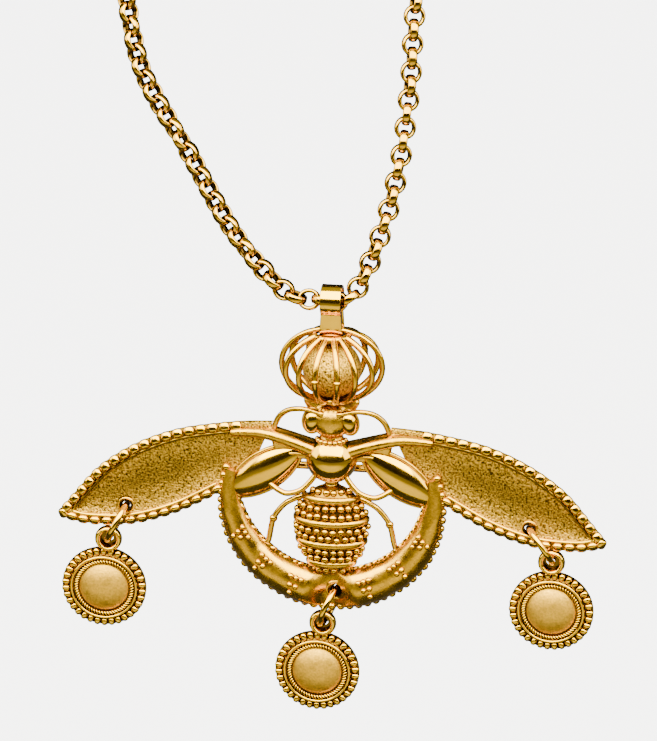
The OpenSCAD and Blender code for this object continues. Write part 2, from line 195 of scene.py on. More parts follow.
class BroochSizes(PropertyGroup):
    bail_w: length("Bail", "Width of the folded strap", 2.1)
    cage_rx: length("Cage half width", "Half width of the cage's outer ring", 5.4)
    cage_rz: length("Cage half height", "Half height of the cage's outer ring", 4.25)
    cage_wire_r: length("Cage wire", "Radius of the cage's wires", 0.3)
    core_r: length("Ball", "Radius of the loose ball in the cage", 2.95)
    abdomen_rx: length("Abdomen", "Half width of the striped abdomen", 3.6)
    abdomen_rz: length("Abdomen height", "Half height of the striped abdomen", 5)
    granule_d: length("Granule", "Diameter of one granule", 0.74)
    leg_r: length("Leg", "Radius of the wire legs", 0.3)
    crescent_r: length("Crescent", "Outer radius of the crescent", 11.4)
    crescent_w: length("Crescent width", "Width of the crescent at its lowest point", 4.3)
    edge_bead_d: length("Edge bead", "Diameter of a bead of the crescent's beaded edge", 0.86)
    wing_t: length("Wing", "Thickness of the wing plates", 0.8)
    rim_w: length("Rim", "Width of the toothed rim", 0.85)
    tooth_step: length("Tooth step", "Distance from tooth to tooth along the rim", 1.25)


class DropSizes(PropertyGroup):
    disc_r: length("Disc", "Radius of a hanging disc over its beads", 4.3)
    rim_beads: IntProperty(name="Rim beads", description="Beads round a disc", default=34, min=12, max=60)
    jump_r: length("Jump ring", "Mean radius of a jump ring", 2.1)
    jump_wire_r: length("Jump ring wire", "Radius of the jump ring's wire", 0.32)


class GoldColours(PropertyGroup):
    polished: colour("Polished", "Gold plate where it is polished", "#e2b114")
    satin: colour("Satin", "Gold plate where it is brushed to a satin", "#d3a116")
    blasted: colour("Sandblasted", "Gold plate where it is sandblasted", "#e6b42c")
    # Crevice colour: painted shade and bounced light in grooves, mixed in by ambient occlusion
    crevice: colour("Crevice", "Deeper gold in grooves, where light bounces from gold to gold", "#7a4f09")
    # Painted shade: the dark brown taken by points marked for shade and by the chain's grooves
    painted_shade_brown: colour("Patina", "Dull brown where polishing never reaches", "#33240a")
    floor: colour("Floor", "Pale studio floor", "#f4f3f1")


def in_mm(group):
    """A group's sizes in millimetres, with its counts as they are."""
    values = {name: getattr(group, name) for name in type(group).__annotations__}
    return types.SimpleNamespace(**{k: v / MM if isinstance(v, float) else v for k, v in values.items()})


# Shapes. A shell is its points and a list of arrays of faces


def unit(v):
    return v / np.linalg.norm(v, axis=-1, keepdims=True)


def around(count):
    """Angles at equal steps round a circle."""
    return np.arange(count) * 2 * math.pi / count


def line_of(x, y, z):
    """Points from their coordinates, each a list of numbers or one number for all."""
    return np.stack(np.broadcast_arrays(x, y, z), 1)


def cos_sin(degrees):
    return math.cos(math.radians(degrees)), math.sin(math.radians(degrees))


def smoothed(points, times=1, loop=False):
    """Points with one more between each two, on a smooth curve, as many times as asked."""
    p = np.asarray(points, float)
    for _ in range(times):
        if loop:
            before, here, there, after = np.roll(p, 1, 0), p, np.roll(p, -1, 0), np.roll(p, -2, 0)
        else:
            before, after = np.vstack([p[:1], p[:-2]]), np.vstack([p[2:], p[-1:]])
            here, there = p[:-1], p[1:]
        woven = np.empty((len(p) + len(here), p.shape[1]))
        woven[::2] = p
        woven[1::2] = (9 * (here + there) - before - after) / 16
        p = woven
    return p


def spread(points, count):
    """As many points as asked, at equal steps along a line of points."""
    p = np.asarray(points, float)
    run = np.concatenate([[0], np.cumsum(np.linalg.norm(np.diff(p, axis=0), axis=1))])
    at = np.linspace(0, run[-1], count)
    return np.stack([np.interp(at, run, p[:, k]) for k in range(p.shape[1])], 1)


def run_of(points):
    return np.linalg.norm(np.diff(points, axis=0), axis=1).sum()


def turn(axis, degrees):
    """The matrix that turns points round the x, y or z axis."""
    c, s = cos_sin(degrees)
    return {
        "x": np.array([[1, 0, 0], [0, c, -s], [0, s, c]]),
        "y": np.array([[c, 0, s], [0, 1, 0], [-s, 0, c]]),
        "z": np.array([[c, -s, 0], [s, c, 0], [0, 0, 1]]),
    }[axis]


def outward(shell):
    """The shell with its faces the right way out."""
    points, faces = shell
    inside = 0
    for f in faces:
        for k in range(1, f.shape[1] - 1):
            a, b, c = points[f[:, 0]], points[f[:, k]], points[f[:, k + 1]]
            inside += np.einsum("ij,ij->", a, np.cross(b, c))
    return shell if inside > 0 else (points, [f[:, ::-1] for f in faces])


def skin(rows, closed=False, start=None, end=None):
    """A closed skin over rows of points, with a middle point at each end unless the rows close."""
    rows = np.asarray(rows, float)
    count, columns = rows.shape[:2]
    points = rows.reshape(-1, 3)
    i = np.arange(count if closed else count - 1)[:, None]
    j = np.arange(columns)
    ahead = (j + 1) % columns
    below = ((i + 1) % count) * columns
    faces = [np.stack([i * columns + j, i * columns + ahead, below + ahead, below + j], -1).reshape(-1, 4)]
    if not closed:
        start = rows[0].mean(0) if start is None else start
        end = rows[-1].mean(0) if end is None else end
        first = np.full(columns, len(points))
        last = (count - 1) * columns
        faces.append(np.stack([first, ahead, j], 1))
        faces.append(np.stack([first + 1, last + j, last + ahead], 1))
        points = np.vstack([points, start, end])
    return outward((points, faces))


def wire(points, radius, sides=10, closed=False, first=(0, 1, 0.01), flat=1.0):
    """A round wire along points, with round ends. Its radius is one number, or one for each point."""
    p = np.asarray(points, float)
    r = np.broadcast_to(np.asarray(radius, float), len(p)).copy()
    t = unit(np.roll(p, -1, 0) - np.roll(p, 1, 0) if closed else np.gradient(p, axis=0))
    start = end = None
    if not closed:
        dome = np.radians([75, 50, 25])
        head = p[0] - np.outer(np.sin(dome) * r[0], t[0])
        tail = p[-1] + np.outer(np.sin(dome[::-1]) * r[-1], t[-1])
        start, end = p[0] - r[0] * t[0], p[-1] + r[-1] * t[-1]
        r = np.concatenate([np.cos(dome) * r[0], r, np.cos(dome[::-1]) * r[-1]])
        t = np.vstack([np.repeat(t[:1], 3, 0), t, np.repeat(t[-1:], 3, 0)])
        p = np.vstack([head, p, tail])
    side = np.asarray(first, float)
    sideways = []
    for along in t:
        side = unit(side - side @ along * along)
        sideways.append(side)
    sideways = np.array(sideways)
    other = np.cross(t, sideways)
    a = around(sides)
    rim = np.cos(a)[None, :, None] * sideways[:, None] + flat * np.sin(a)[None, :, None] * other[:, None]
    return skin(p[:, None] + r[:, None, None] * rim, closed, start, end)


def hoop(x, y, z, radius, thick):
    """A ring of thin wire that faces minus Y."""
    a = around(40)
    return wire(line_of(x + radius * np.cos(a), y, z + radius * np.sin(a)), thick, 8, True)


def lathe(profile, sides=48, closed=False):
    """A profile of radius and height turned round the Z axis. An open one ends on the axis."""
    rows = np.asarray(profile, float)
    a = around(sides)
    round_z = np.stack([np.cos(a), np.sin(a)], 1)
    inner = rows if closed else rows[1:-1]
    heights = np.broadcast_to(inner[:, None, 1:], (len(inner), sides, 1))
    rings = np.concatenate([inner[:, None, :1] * round_z[None], heights], 2)
    if closed:
        return skin(rings, closed=True)
    return skin(rings, start=(0, 0, rows[0][1]), end=(0, 0, rows[-1][1]))


def torus(radius, out_r, side_r, points, sides):
    """A closed ring round the Z axis: its mean radius and the half sizes of its oval section."""
    section = [(radius + out_r * math.cos(a), side_r * math.sin(a)) for a in around(points)]
    return lathe(section, sides, closed=True)


def taken(bm):
    """The points and faces of a bmesh, which is then freed."""
    bm.verts.index_update()
    points = np.array([v.co[:] for v in bm.verts])
    faces = np.array([[v.index for v in f.verts] for f in bm.faces])
    bm.free()
    return points, faces


@functools.lru_cache(None)
def unit_ball(level):
    """Points and faces of a ball of radius one, made of triangles."""
    bm = bmesh.new()
    bmesh.ops.create_icosphere(bm, subdivisions=level, radius=1)
    return taken(bm)


def lump(level=2, square=2.0):
    """A ball of radius one, or a rounded block if square is above two."""
    points, faces = unit_ball(level)
    size = (np.abs(points) ** square).sum(1) ** (1 / square)
    return points / size[:, None], [faces]


def placed(shell, centre=(0, 0, 0), axes=None):
    """The shell with its axes scaled or turned by a matrix, then moved."""
    points, faces = shell
    moved = points if axes is None else points @ np.asarray(axes, float).T
    return outward((moved + np.asarray(centre, float), faces))


def egg(centre, radii, level=4):
    return placed(lump(level), centre, np.diag(radii))


def ball(centre, radius, level=2):
    return egg(centre, (radius, radius, radius), level)


def wavered(points, depth, step):
    """Points moved a little, as the skin of a casting wavers, in waves of about one step."""
    x, y, z = points.T * 2 * math.pi / step
    wave = np.sin(x + 2 * np.sin(0.63 * z)) + np.sin(z + 1.7 * np.sin(0.57 * y + 0.4 * x))
    wave = wave + np.sin(y + 0.8 * z)
    return points + depth / 2 * wave[:, None] * unit(points - points.mean(0))


def mirrored(shell):
    """The shell on the pendant's other side."""
    return placed(shell, axes=np.diag([-1, 1, 1]))


def both(*shells):
    return [*shells, *map(mirrored, shells)]


def joined(shells):
    """One shell from several."""
    points, faces, start = [], [], 0
    for p, f in shells:
        points.append(p)
        faces.extend(a + start for a in f)
        start += len(p)
    return np.vstack(points), faces


def wrapped(*shells):
    """The convex shell round several shells, as metal flows round what it joins."""
    bm = bmesh.new()
    for p in joined(shells)[0]:
        bm.verts.new(p)
    bmesh.ops.convex_hull(bm, input=bm.verts, use_existing_faces=False)
    bmesh.ops.delete(bm, geom=[v for v in bm.verts if not v.link_faces], context="VERTS")
    bmesh.ops.triangulate(bm, faces=bm.faces)
    points, faces = taken(bm)
    return outward((points, [faces]))


def block(low, high, edge):
    """A box with rounded edges."""
    low, high = np.array(low, float), np.array(high, float)
    x, y, z = (high - low) / 2
    rows = []
    for end, rise in ((1, 80), (1, 55), (1, 28), (1, 0), (-1, 0), (-1, 28), (-1, 55), (-1, 80)):
        shrink, up = cos_sin(rise)
        row = []
        for quarter, (right, back) in enumerate(((1, 1), (-1, 1), (-1, -1), (1, -1))):
            for a in (0, 30, 60, 90):
                c, s = cos_sin(90 * quarter + a)
                across = (right * (x - edge) + edge * shrink * c, back * (y - edge) + edge * shrink * s)
                row.append((*across, end * (z - edge + edge * up)))
        rows.append(row)
    return placed(skin(rows, start=(0, 0, z), end=(0, 0, -z)), (low + high) / 2)


def mesh_of(name, shells, home=HANG):
    """A smooth mesh in metres from shells in millimetres round a home point."""
    points, faces = joined(shells)
    mesh = bpy.data.meshes.new(name)
    mesh.from_pydata(((points + home) * MM).tolist(), [], [f for a in faces for f in a.tolist()])
    mesh.shade_smooth()
    return mesh


def marked_for_shade(mesh, shares):
    """Marks how much painted shade each point gets, from 0 to 1."""
    mark = mesh.attributes.new("hollow", "FLOAT", "POINT")
    mark.data.foreach_set("value", np.broadcast_to(np.asarray(shares, float), len(mesh.vertices)).tolist())
    return mesh


def show(name, mesh):
    obj = bpy.data.objects.new(name, mesh)
    bpy.context.scene.collection.objects.link(obj)
    return obj


def modified(obj, kind, **settings):
    """Adds one modifier to the object, sets it and applies it."""
    modifier = obj.modifiers.new(kind.lower(), kind)
    for key, value in settings.items():
        setattr(modifier, key, value)
    solid = bpy.data.meshes.new_from_object(obj.evaluated_get(bpy.context.evaluated_depsgraph_get()))
    obj.modifiers.clear()
    old = obj.data
    obj.data = solid
    solid.name = obj.name
    bpy.data.meshes.remove(old)


def fused(name, shells, voxel_mm, soften):
    """Shells flowed into one cast skin, with soft inner corners."""
    obj = show(name, mesh_of(name, shells))
    modified(obj, "REMESH", mode="VOXEL", voxel_size=voxel_mm * MM)
    modified(obj, "SMOOTH", factor=0.5, iterations=soften)
    obj.data.shade_smooth()
    return obj


def drilled(name, mesh, drop):
    """A piece with the hole for a drop's jump ring."""
    obj = show(name, mesh)
    x, z = DROPS[drop][:2]
    hole = lathe([(0, -3), (HOLE_R, -3), (HOLE_R, 3), (0, 3)], 40)
    cutter = show("cutter", mesh_of("cutter", [placed(hole, (x, 0, z), turn("x", 90))]))
    modified(obj, "BOOLEAN", operation="DIFFERENCE", object=cutter, solver="EXACT")
    bpy.data.objects.remove(cutter)
    obj.data.shade_smooth()
    return obj


def washer(centre, outer, near, far):
    """A flat ring behind a drop's hole, from one depth to another."""
    rows = [(BACK_HOLE_R, near), (outer, near), (outer, far), (BACK_HOLE_R, far)]
    return placed(lathe(rows, 40, closed=True), centre, turn("x", -90))


def ring_axes(lean, turned):
    """How a jump ring leans: its matrix, and the way down from its hole."""
    leaned = turn("y", -lean)
    return leaned @ turn("z", turned), leaned @ np.array([0, 0, -1])


def jump_ring_at(name, y, low=False):
    """The middle of a jump ring's wire at a depth y, near its top, or near its bottom if low."""
    x, z, lean, turned, _ = DROPS[name]
    axes, down = ring_axes(lean, turned)
    along = axes @ np.array([1, 0, 0])
    ring_r = in_mm(bpy.context.scene.jewel_drops).jump_r
    bend = y * y / (2 * ring_r)
    at = np.array([x, 0, z]) + along * y / along[1] + down * (2 * ring_r - bend if low else bend)
    return at * (1, 0, 1)


BODY = ("brooch_body",)


def finished(obj, surface, nodes=BODY, body="pendant", sharp_deg=50):
    """Gives a piece its finish and sharp edges, hides the parts that it stands for and hangs it on the body
    that it rides on.
    """
    slot, finish = surface
    obj.data.materials.clear()
    obj.data.materials.append(gilt(finish))
    obj.data.set_sharp_from_angle(angle=math.radians(sharp_deg))
    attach(obj, body)
    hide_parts(*nodes)


def made(name, shells, surface, nodes=BODY, body="pendant", home=HANG, shade_paint=None):
    """A finished piece from its shells, with a share of painted shade for each point if it has any."""
    mesh = mesh_of(name, shells, home)
    if shade_paint is not None:
        marked_for_shade(mesh, shade_paint)
    finished(show(name, mesh), surface, nodes, body)


# Finishes: colour, roughness from and to, then in millimetres the drift of the tone, the grain,
# the grain's depth and the reach of the painted shade in crevices, then how dark that painted shade is,
# the colour deep in it, and how much the grain flecks the colour with painted glints and grit shade
FINISHES = {
    # Cast gold plate, polished: mirror reflections that waver a little over the cast skin
    "gold_plate_polished": ("polished", 0.09, 0.16, 3, 1.4, 0.006, 0.5, 0.7, "crevice", 0),
    # Cast gold plate, brushed: a soft sheen with small dull patches
    "gold_plate_satin": ("satin", 0.2, 0.34, 1.3, 0.25, 0.014, 0.5, 0.85, "crevice", 0.14),
    # Gold plate brushed matt on a dome: a wide soft sheen, lighter towards the light
    "gold_plate_matt": ("blasted", 0.42, 0.54, 1.1, 0.22, 0.02, 0.5, 0.35, "crevice", 0.2),
    # Gold plate as cast, only tumbled: bright on its high spots, with orange-brown painted shade in its
    # grooves
    "gold_plate_cast": ("satin", 0.15, 0.26, 1.2, 0.5, 0.02, 0.45, 1, "crevice", 0),
    # Sandblasted gold plate: matt, with grit marks, its colour flecked lighter and darker as painted glints
    # and painted shade of the grit. Grit of 0.1 mm is drawn as 0.2 mm to show
    "gold_plate_sandblasted": ("blasted", 0.38, 0.56, 1.4, 0.2, 0.12, 0.7, 0.7, "crevice", 0.95),
    # Drawn gold wire, polished: small sharp highlights
    "gold_wire_polished": ("polished", 0.08, 0.15, 2, 0.8, 0.004, 0.35, 1, "crevice", 0),
    # Polished chain: bright crowns, and dark brown painted shade where link touches link
    "gold_chain_polished": ("satin", 0.08, 0.15, 2, 0.8, 0.004, 0.9, 1, "painted_shade_brown", 0),
}

# Slot and finish of each kind of surface
CAST = ("gold_cast", "gold_plate_cast")
SATIN = ("gold_cast", "gold_plate_satin")
POLISHED = ("gold_polished", "gold_plate_polished")
BANDS = ("gold_polished", "gold_plate_satin")
NEEDLE = ("gold_polished", "gold_wire_polished")
BLASTED = ("gold_sandblasted", "gold_plate_sandblasted")
LINKS = ("gold_chain", "gold_chain_polished")
RINGS = ("gold_chain", "gold_wire_polished")
DOMES = ("gold_disc", "gold_plate_matt")
DISCS = ("gold_disc", "gold_wire_polished")
BACK = ("gold_back", "gold_plate_cast")


def add(tree, kind, settings=(), feeds=()):
    """Adds a node, sets its values and feeds its inputs from other nodes' outputs."""
    node = tree.nodes.new("ShaderNode" + kind)
    for key, value in dict(settings).items():
        if isinstance(key, int) or key in node.inputs:
            node.inputs[key].default_value = value
        else:
            setattr(node, key, value)
    for key, output in dict(feeds).items():
        tree.links.new(output, node.inputs[key])
    return node


@functools.lru_cache(None)
def gilt(name):
    """Gold plate: a metal whose tone and roughness drift a little, with a grain, and with painted shade in
    its grooves and on points marked for it.
    """
    tone, smooth, rough, mottle_mm, grain_mm, depth_mm, reach_mm, dark, deepest, fleck = FINISHES[name]
    colours = bpy.context.scene.jewel_colours
    material = bpy.data.materials.new(name)
    material.use_nodes = True
    tree = material.node_tree
    node = functools.partial(add, tree)
    place = node("TexCoord").outputs["Object"]
    mottle, grain = [
        node("TexNoise", {"Scale": 1 / (size * MM), "Detail": detail, "Roughness": each}, {"Vector": place})
        .outputs["Fac"]
        for size, detail, each in ((mottle_mm, 3, 0.6), (grain_mm, 2, 0.55))
    ]
    # Painted shade: ambient occlusion darkens grooves towards the crevice colour
    shade = node("AmbientOcclusion", {"Distance": reach_mm * MM, "samples": 6}).outputs["AO"]
    ends = ("From Min", "From Max", "To Min", "To Max")
    roughness, deep, drift, light = [
        node("MapRange", zip(ends, span), {"Value": source}).outputs["Result"]
        for source, span in (
            (mottle, (0.35, 0.65, smooth, rough)),
            (shade, (0.25, 0.85, dark, 0)),
            (mottle, (0.3, 0.7, 0, 0.15)),
            (grain, (0.35, 0.65, 1 - fleck, 1 + fleck / 2)),
        )
    ]
    share = node("Math", {"operation": "ADD", "use_clamp": True}, {0: deep, 1: drift}).outputs["Value"]
    two_tones = {6: (*getattr(colours, tone), 1), 7: (*getattr(colours, deepest), 1)}
    tint = node("Mix", {"data_type": "RGBA", **two_tones}, {0: share}).outputs[2]
    # Painted shade: each point's marked share mixes the dark brown into the colour
    hollow = node("Attribute", {"attribute_name": "hollow"}).outputs["Fac"]
    shade_paint = node("Mix", {"data_type": "RGBA", 7: (*colours.painted_shade_brown, 1)}, {0: hollow, 6: tint}).outputs[2]
    # The grain flecks the colour lighter and darker: painted glints and painted shade of the grit
    flecked = node("Mix", {"data_type": "RGBA", "blend_type": "MULTIPLY", 0: 1.0}, {6: shade_paint, 7: light})
    bump = node("Bump", {"Strength": 1, "Distance": depth_mm * MM}, {"Height": grain})
    shader = tree.nodes["Principled BSDF"]
    shader.inputs["Metallic"].default_value = 1
    tree.links.new(flecked.outputs[2], shader.inputs["Base Color"])
    tree.links.new(roughness, shader.inputs["Roughness"])
    tree.links.new(bump.outputs["Normal"], shader.inputs["Normal"])
    return material


# Operators: one for each piece or group of like pieces


class JEWEL_OT_stage(Operator):
    """Adds the camera, the studio lights and a plain pale floor"""

    bl_idname = "jewel.stage"
    bl_label = "Stage"

    def execute(self, context):
        camera_at_photo_angle(context)
        soft_lights(context)
        studio_room(context)
        place = brooch_middle() + CARD_PLACE
        card = studio_plane("studio_card", CARD_SIZE, place, "card_slate_felt", linear(CARD), 1)
        card.visible_camera = card.visible_diffuse = card.visible_shadow = False
        tone = context.scene.jewel_colours.floor
        studio_plane("studio_floor", FLOOR_SIZE, (0, 0, FLOOR_Z_M), "floor_matt_paint", tone, 0.9)
        return {"FINISHED"}


CAMERA_TURN_DEG = 8
CAMERA_RISE_DEG = 24
CAMERA_AWAY_M = 1.6
FRAME_TALL_MM = 74.1
SENSOR_MM = 36
# The photograph's middle, measured from the bail's centre along the picture's own axes
FRAME_MIDDLE_MM = (-0.35, -7.05)
FLOOR_Z_M = -0.6
FLOOR_SIZE = 24


def towards_camera(rise_deg):
    """The way from the brooch to the camera's side, at a rise of its own."""
    (c, s), (level, up) = cos_sin(CAMERA_TURN_DEG), cos_sin(rise_deg)
    return s * level, -c * level, up


def camera_axes():
    """Right, up and back of the picture, as directions in the frame."""
    right = np.array([*cos_sin(CAMERA_TURN_DEG), 0])
    back = np.array(towards_camera(CAMERA_RISE_DEG))
    return right, np.cross(back, right), back


def aimed(context, name, data, at, back):
    """A camera or light that looks along minus back, from its place."""
    obj = bpy.data.objects.new(name, data)
    context.scene.collection.objects.link(obj)
    obj.location = at
    obj.rotation_mode = "QUATERNION"
    obj.rotation_quaternion = (-Vector(back)).to_track_quat("-Z", "Y")
    return obj


def camera_at_photo_angle(context):
    data = bpy.data.cameras.new("camera")
    data.sensor_width = SENSOR_MM
    data.lens = SENSOR_MM * CAMERA_AWAY_M / (FRAME_TALL_MM * MM)
    data.clip_start = 0.01
    data.clip_end = 100
    right, up, back = camera_axes()
    middle = (HANG + FRAME_MIDDLE_MM[0] * right + FRAME_MIDDLE_MM[1] * up) * MM
    context.scene.camera = aimed(context, "camera", data, middle + CAMERA_AWAY_M * back, back)


# Soft lights: name, place from the brooch's middle, aim, size in metres, radiance, colour
LIGHTS = [
    ("softbox_over", (0, -0.16, 0.28), (0, 0, 0), (0.7, 0.36), 19, "#fffaf0"),
    ("softbox_left", (-0.32, -0.06, 0.15), (0, 0, 0), (0.25, 0.25), 8, "#fff8ec"),
    ("softbox_right", (0.32, -0.06, 0.15), (0, 0, 0), (0.25, 0.25), 8, "#fff8ec"),
    ("floor_light", (0, 1.1, -0.2), (0, 1.1, -1), (2.4, 1.6), 6.5, "#ffffff"),
    ("front_floor_light", (0, -1.2, -0.2), (0, -1.2, -1), (1.8, 1), 1.9, "#fff8ec"),
]
# Room round the brooch: its bright ceiling comes lower at the sides than behind,
# and the part round the camera is dark
CEILING = 0.6
CEILING_FROM = 0.2
CEILING_TO = 0.35
CEILING_BACK_DROP = 0.9
DARK_CONE_DEG = (38, 48)
DARK_CONE_RISE_DEG = 5
ROOM_FRONT, ROOM_BACK, ROOM_CEILING, WALL = [
    (*linear(code), 1) for code in ("#38332b", "#2c354c", "#fffdf8", "#f6f5f3")
]
# Dark card over the floor behind the brooch, which only reflections see:
# its middle and its size from front to back, from the brooch, in metres
CARD_PLACE = (0, 1.75, -0.46)
CARD_SIZE = 4.4
CARD = "#1d2130"


def brooch_middle():
    """The brooch's middle in the frame, in metres."""
    return (HANG + np.array([0, 0, -20])) * MM


def soft_lights(context):
    centre = brooch_middle()
    for name, away, target, (wide, deep), radiance, tint in LIGHTS:
        data = bpy.data.lights.new(name, "AREA")
        data.shape = "RECTANGLE"
        data.size = wide
        data.size_y = deep
        data.energy = radiance * math.pi * wide * deep
        data.color = linear(tint)
        away = np.array(away)
        aimed(context, name, data, centre + away, unit(away - np.array(target))).visible_camera = False


def studio_room(context):
    world = bpy.data.worlds.new("studio")
    world.use_nodes = True
    context.scene.world = world
    tree = world.node_tree
    node = functools.partial(add, tree)
    direction = node("TexCoord").outputs["Generated"]
    split = node("SeparateXYZ", feeds={"Vector": direction}).outputs
    behind = node("Math", {"operation": "MAXIMUM", 1: 0.0}, {0: split["Y"]}).outputs["Value"]
    drop = {"operation": "MULTIPLY_ADD", 1: -CEILING_BACK_DROP}
    height = node("Math", drop, {0: behind, 2: split["Z"]}).outputs["Value"]
    high = node("MapRange", {"From Min": CEILING_FROM, "From Max": CEILING_TO}, {"Value": height})
    front = {"operation": "DOT_PRODUCT", 1: towards_camera(DARK_CONE_RISE_DEG)}
    facing = node("VectorMath", front, {0: direction}).outputs["Value"]
    narrow, wide = (cos_sin(a)[0] for a in DARK_CONE_DEG)
    cone = {"From Min": wide, "From Max": narrow, "To Min": 1, "To Max": 0}
    away = node("MapRange", cone, {"Value": facing})
    bright = node("Math", {"operation": "MULTIPLY"}, {0: high.outputs["Result"], 1: away.outputs["Result"]})
    dark = node("Mix", {"data_type": "RGBA", 6: ROOM_FRONT, 7: ROOM_BACK}, {0: behind})
    ceiling = {0: bright.outputs["Value"], 6: dark.outputs[2]}
    room = node("Mix", {"data_type": "RGBA", 7: ROOM_CEILING}, ceiling)
    # The camera sees a pale wall past the floor, and the gold sees the room
    seen = {0: node("LightPath").outputs["Is Camera Ray"], 6: room.outputs[2]}
    wall = node("Mix", {"data_type": "RGBA", 7: WALL}, seen)
    ground = tree.nodes["Background"]
    tree.links.new(wall.outputs[2], ground.inputs["Color"])
    ground.inputs["Strength"].default_value = CEILING


def studio_plane(name, size, place, paint, tone, roughness):
    """A flat sheet of the stage with one plain matt material."""
    bpy.ops.mesh.primitive_plane_add(size=size, location=place)
    plane = bpy.context.active_object
    plane.name = name
    material = bpy.data.materials.new(paint)
    material.use_nodes = True
    shader = material.node_tree.nodes["Principled BSDF"]
    shader.inputs["Base Color"].default_value = (*tone, 1)
    shader.inputs["Roughness"].default_value = roughness
    plane.data.materials.append(material)
    return plane


class JEWEL_OT_chain(Operator):
    """Adds the belcher chain: one loop of round links, each turned a quarter from the last"""

    bl_idname = "jewel.chain"
    bl_label = "Chain"

    def execute(self, context):
        s = in_mm(context.scene.jewel_chain)
        ring_r = (s.link_d - s.link_thick) / 2
        # The first and last links reach a little past the route's ends, round the clasp's end loops
        route = smoothed(CHAIN_ROUTE, 4)
        reach = np.array([0.22, 0, 0])
        route = np.vstack([route[0] + reach, route, route[-1] - reach])
        count = 2 * round(run_of(route) / s.link_step / 2) + 1
        centres = spread(route, count)
        along = unit(np.gradient(centres, axis=0))
        back = camera_axes()[2]
        facing = unit(back - (along @ back)[:, None] * along)
        sideways = np.cross(along, facing)
        # Share of an eighth turn: none at the nape and down the right side, all of it down the left
        part = np.interp(np.linspace(0, 1, count), [0, 0.2, 0.34, 0.485, 0.505, 1], [0, 0.4, 1, 1, 0.2, 0])
        rng = random.Random(SEED)
        wobble = np.array([rng.gauss(0, 5) for _ in range(count)])
        roll = np.radians(45 * part + 90 * (np.arange(count) % 2) + wobble)
        face = np.cos(roll)[:, None] * facing + np.sin(roll)[:, None] * sideways
        across = np.cross(face, along)
        # The band is a rounded block in section, flatter on its inside
        section = []
        for b in around(BAND_SIDES):
            out, side = math.cos(b), math.sin(b)
            bulge = (abs(out) ** BAND_SQUARE + abs(side) ** BAND_SQUARE) ** (-1 / BAND_SQUARE)
            section.append((ring_r + s.link_thick / 2 * out * bulge, s.link_wide / 2 * side * bulge))
        ring = lathe(section, LINK_SIDES, closed=True)
        # Links are a little longer than wide, so that the next link's band just fits into the hole
        hole = s.link_d / 2 - s.link_thick
        fit = math.sqrt(1 - (0.46 * s.link_wide / hole) ** 2)
        stretch = (run_of(centres) / (count - 1) / (1 + fit) + s.link_thick) / (s.link_d / 2)
        axes = np.stack([stretch * along, across, face], 2)
        points = np.einsum("nij,vj->nvi", axes, ring[0]) + centres[:, None]
        faces = np.concatenate([ring[1][0] + k * len(ring[0]) for k in range(count)])
        # Painted shade on the inside of each link, which faces away from the light
        inside = [0.95 if r < ring_r - 0.2 * s.link_thick else 0.0 for r, _ in section]
        shade_paint = np.tile(np.repeat(inside, LINK_SIDES), count)
        made("chain_links", [(points.reshape(-1, 3), [faces])], LINKS, ["chain"], "necklace", 0, shade_paint)
        return {"FINISHED"}


class JEWEL_OT_clasp(Operator):
    """Adds the plain barrel clasp with its two end loops"""

    bl_idname = "jewel.clasp"
    bl_label = "Clasp"

    def execute(self, context):
        half = [(0, 4), (0.8, 4), (1.1, 3.93), (1.6, 3.4), (1.85, 3.08), (1.9, 2.9), (1.9, 0.12), (1.78, 0)]
        barrel = lathe([*half, *[(r, -h) for r, h in half[-2::-1]]], 64)
        loop = torus(1.2, 0.35, 0.35, 12, 40)
        shells = [placed(barrel, axes=turn("y", 90)), placed(loop, (5, 0, 0)), placed(loop, (-5, 0, 0))]
        made("clasp_barrel", shells, RINGS, ["clasp"], "necklace", 0)
        return {"FINISHED"}


class JEWEL_OT_bail(Operator):
    """Adds the bail: one strap folded round the chain and round the cage's outer ring"""

    bl_idname = "jewel.bail"
    bl_label = "Bail"

    def execute(self, context):
        # Front half of the strap's middle line, from the top to the foot: y and z
        front = [
            (0, 1.43), (-0.55, 1.31), (-1.02, 1.0), (-1.32, 0.55), (-1.43, 0), (-1.38, -0.4),
            (-1.2, -0.75), (-0.98, -1.0), (-0.88, -1.25), (-0.87, -1.7), (-0.85, -2.3),
            (-0.8, -2.9), (-0.66, -3.4), (-0.35, -3.75),
        ]
        line = smoothed([*front, (0, -3.85), *[(-y, z) for y, z in front[:0:-1]]], 2, loop=True)
        ahead = unit(np.roll(line, -1, 0) - np.roll(line, 1, 0))
        normal = np.stack([-ahead[:, 1], ahead[:, 0]], 1)
        # A little wider towards the foot
        low = np.clip((-1.5 - line[:, 1]) / 2, 0, 1)
        half_w = in_mm(context.scene.jewel_brooch).bail_w / 2 + 0.13 * low
        thick = 0.175
        corner = 0.09
        quarter = np.radians([0, 30, 60, 90])
        section = []
        for x_side, n_side in ((1, 1), (-1, 1), (-1, -1), (1, -1)):
            bend = quarter if x_side * n_side > 0 else quarter[::-1]
            section += [(x_side, n_side, math.cos(b) - 1, math.sin(b) - 1) for b in bend]
        rows = []
        for (y, z), (ny, nz), w in zip(line, normal, half_w):
            row = []
            for x_side, n_side, dx, dn in section:
                out = n_side * (thick + corner * dn)
                row.append((x_side * (w + corner * dx), y + out * ny, z + out * nz))
            rows.append(row)
        made("bail_strap", [skin(rows, closed=True)], POLISHED, ["bail"])
        return {"FINISHED"}


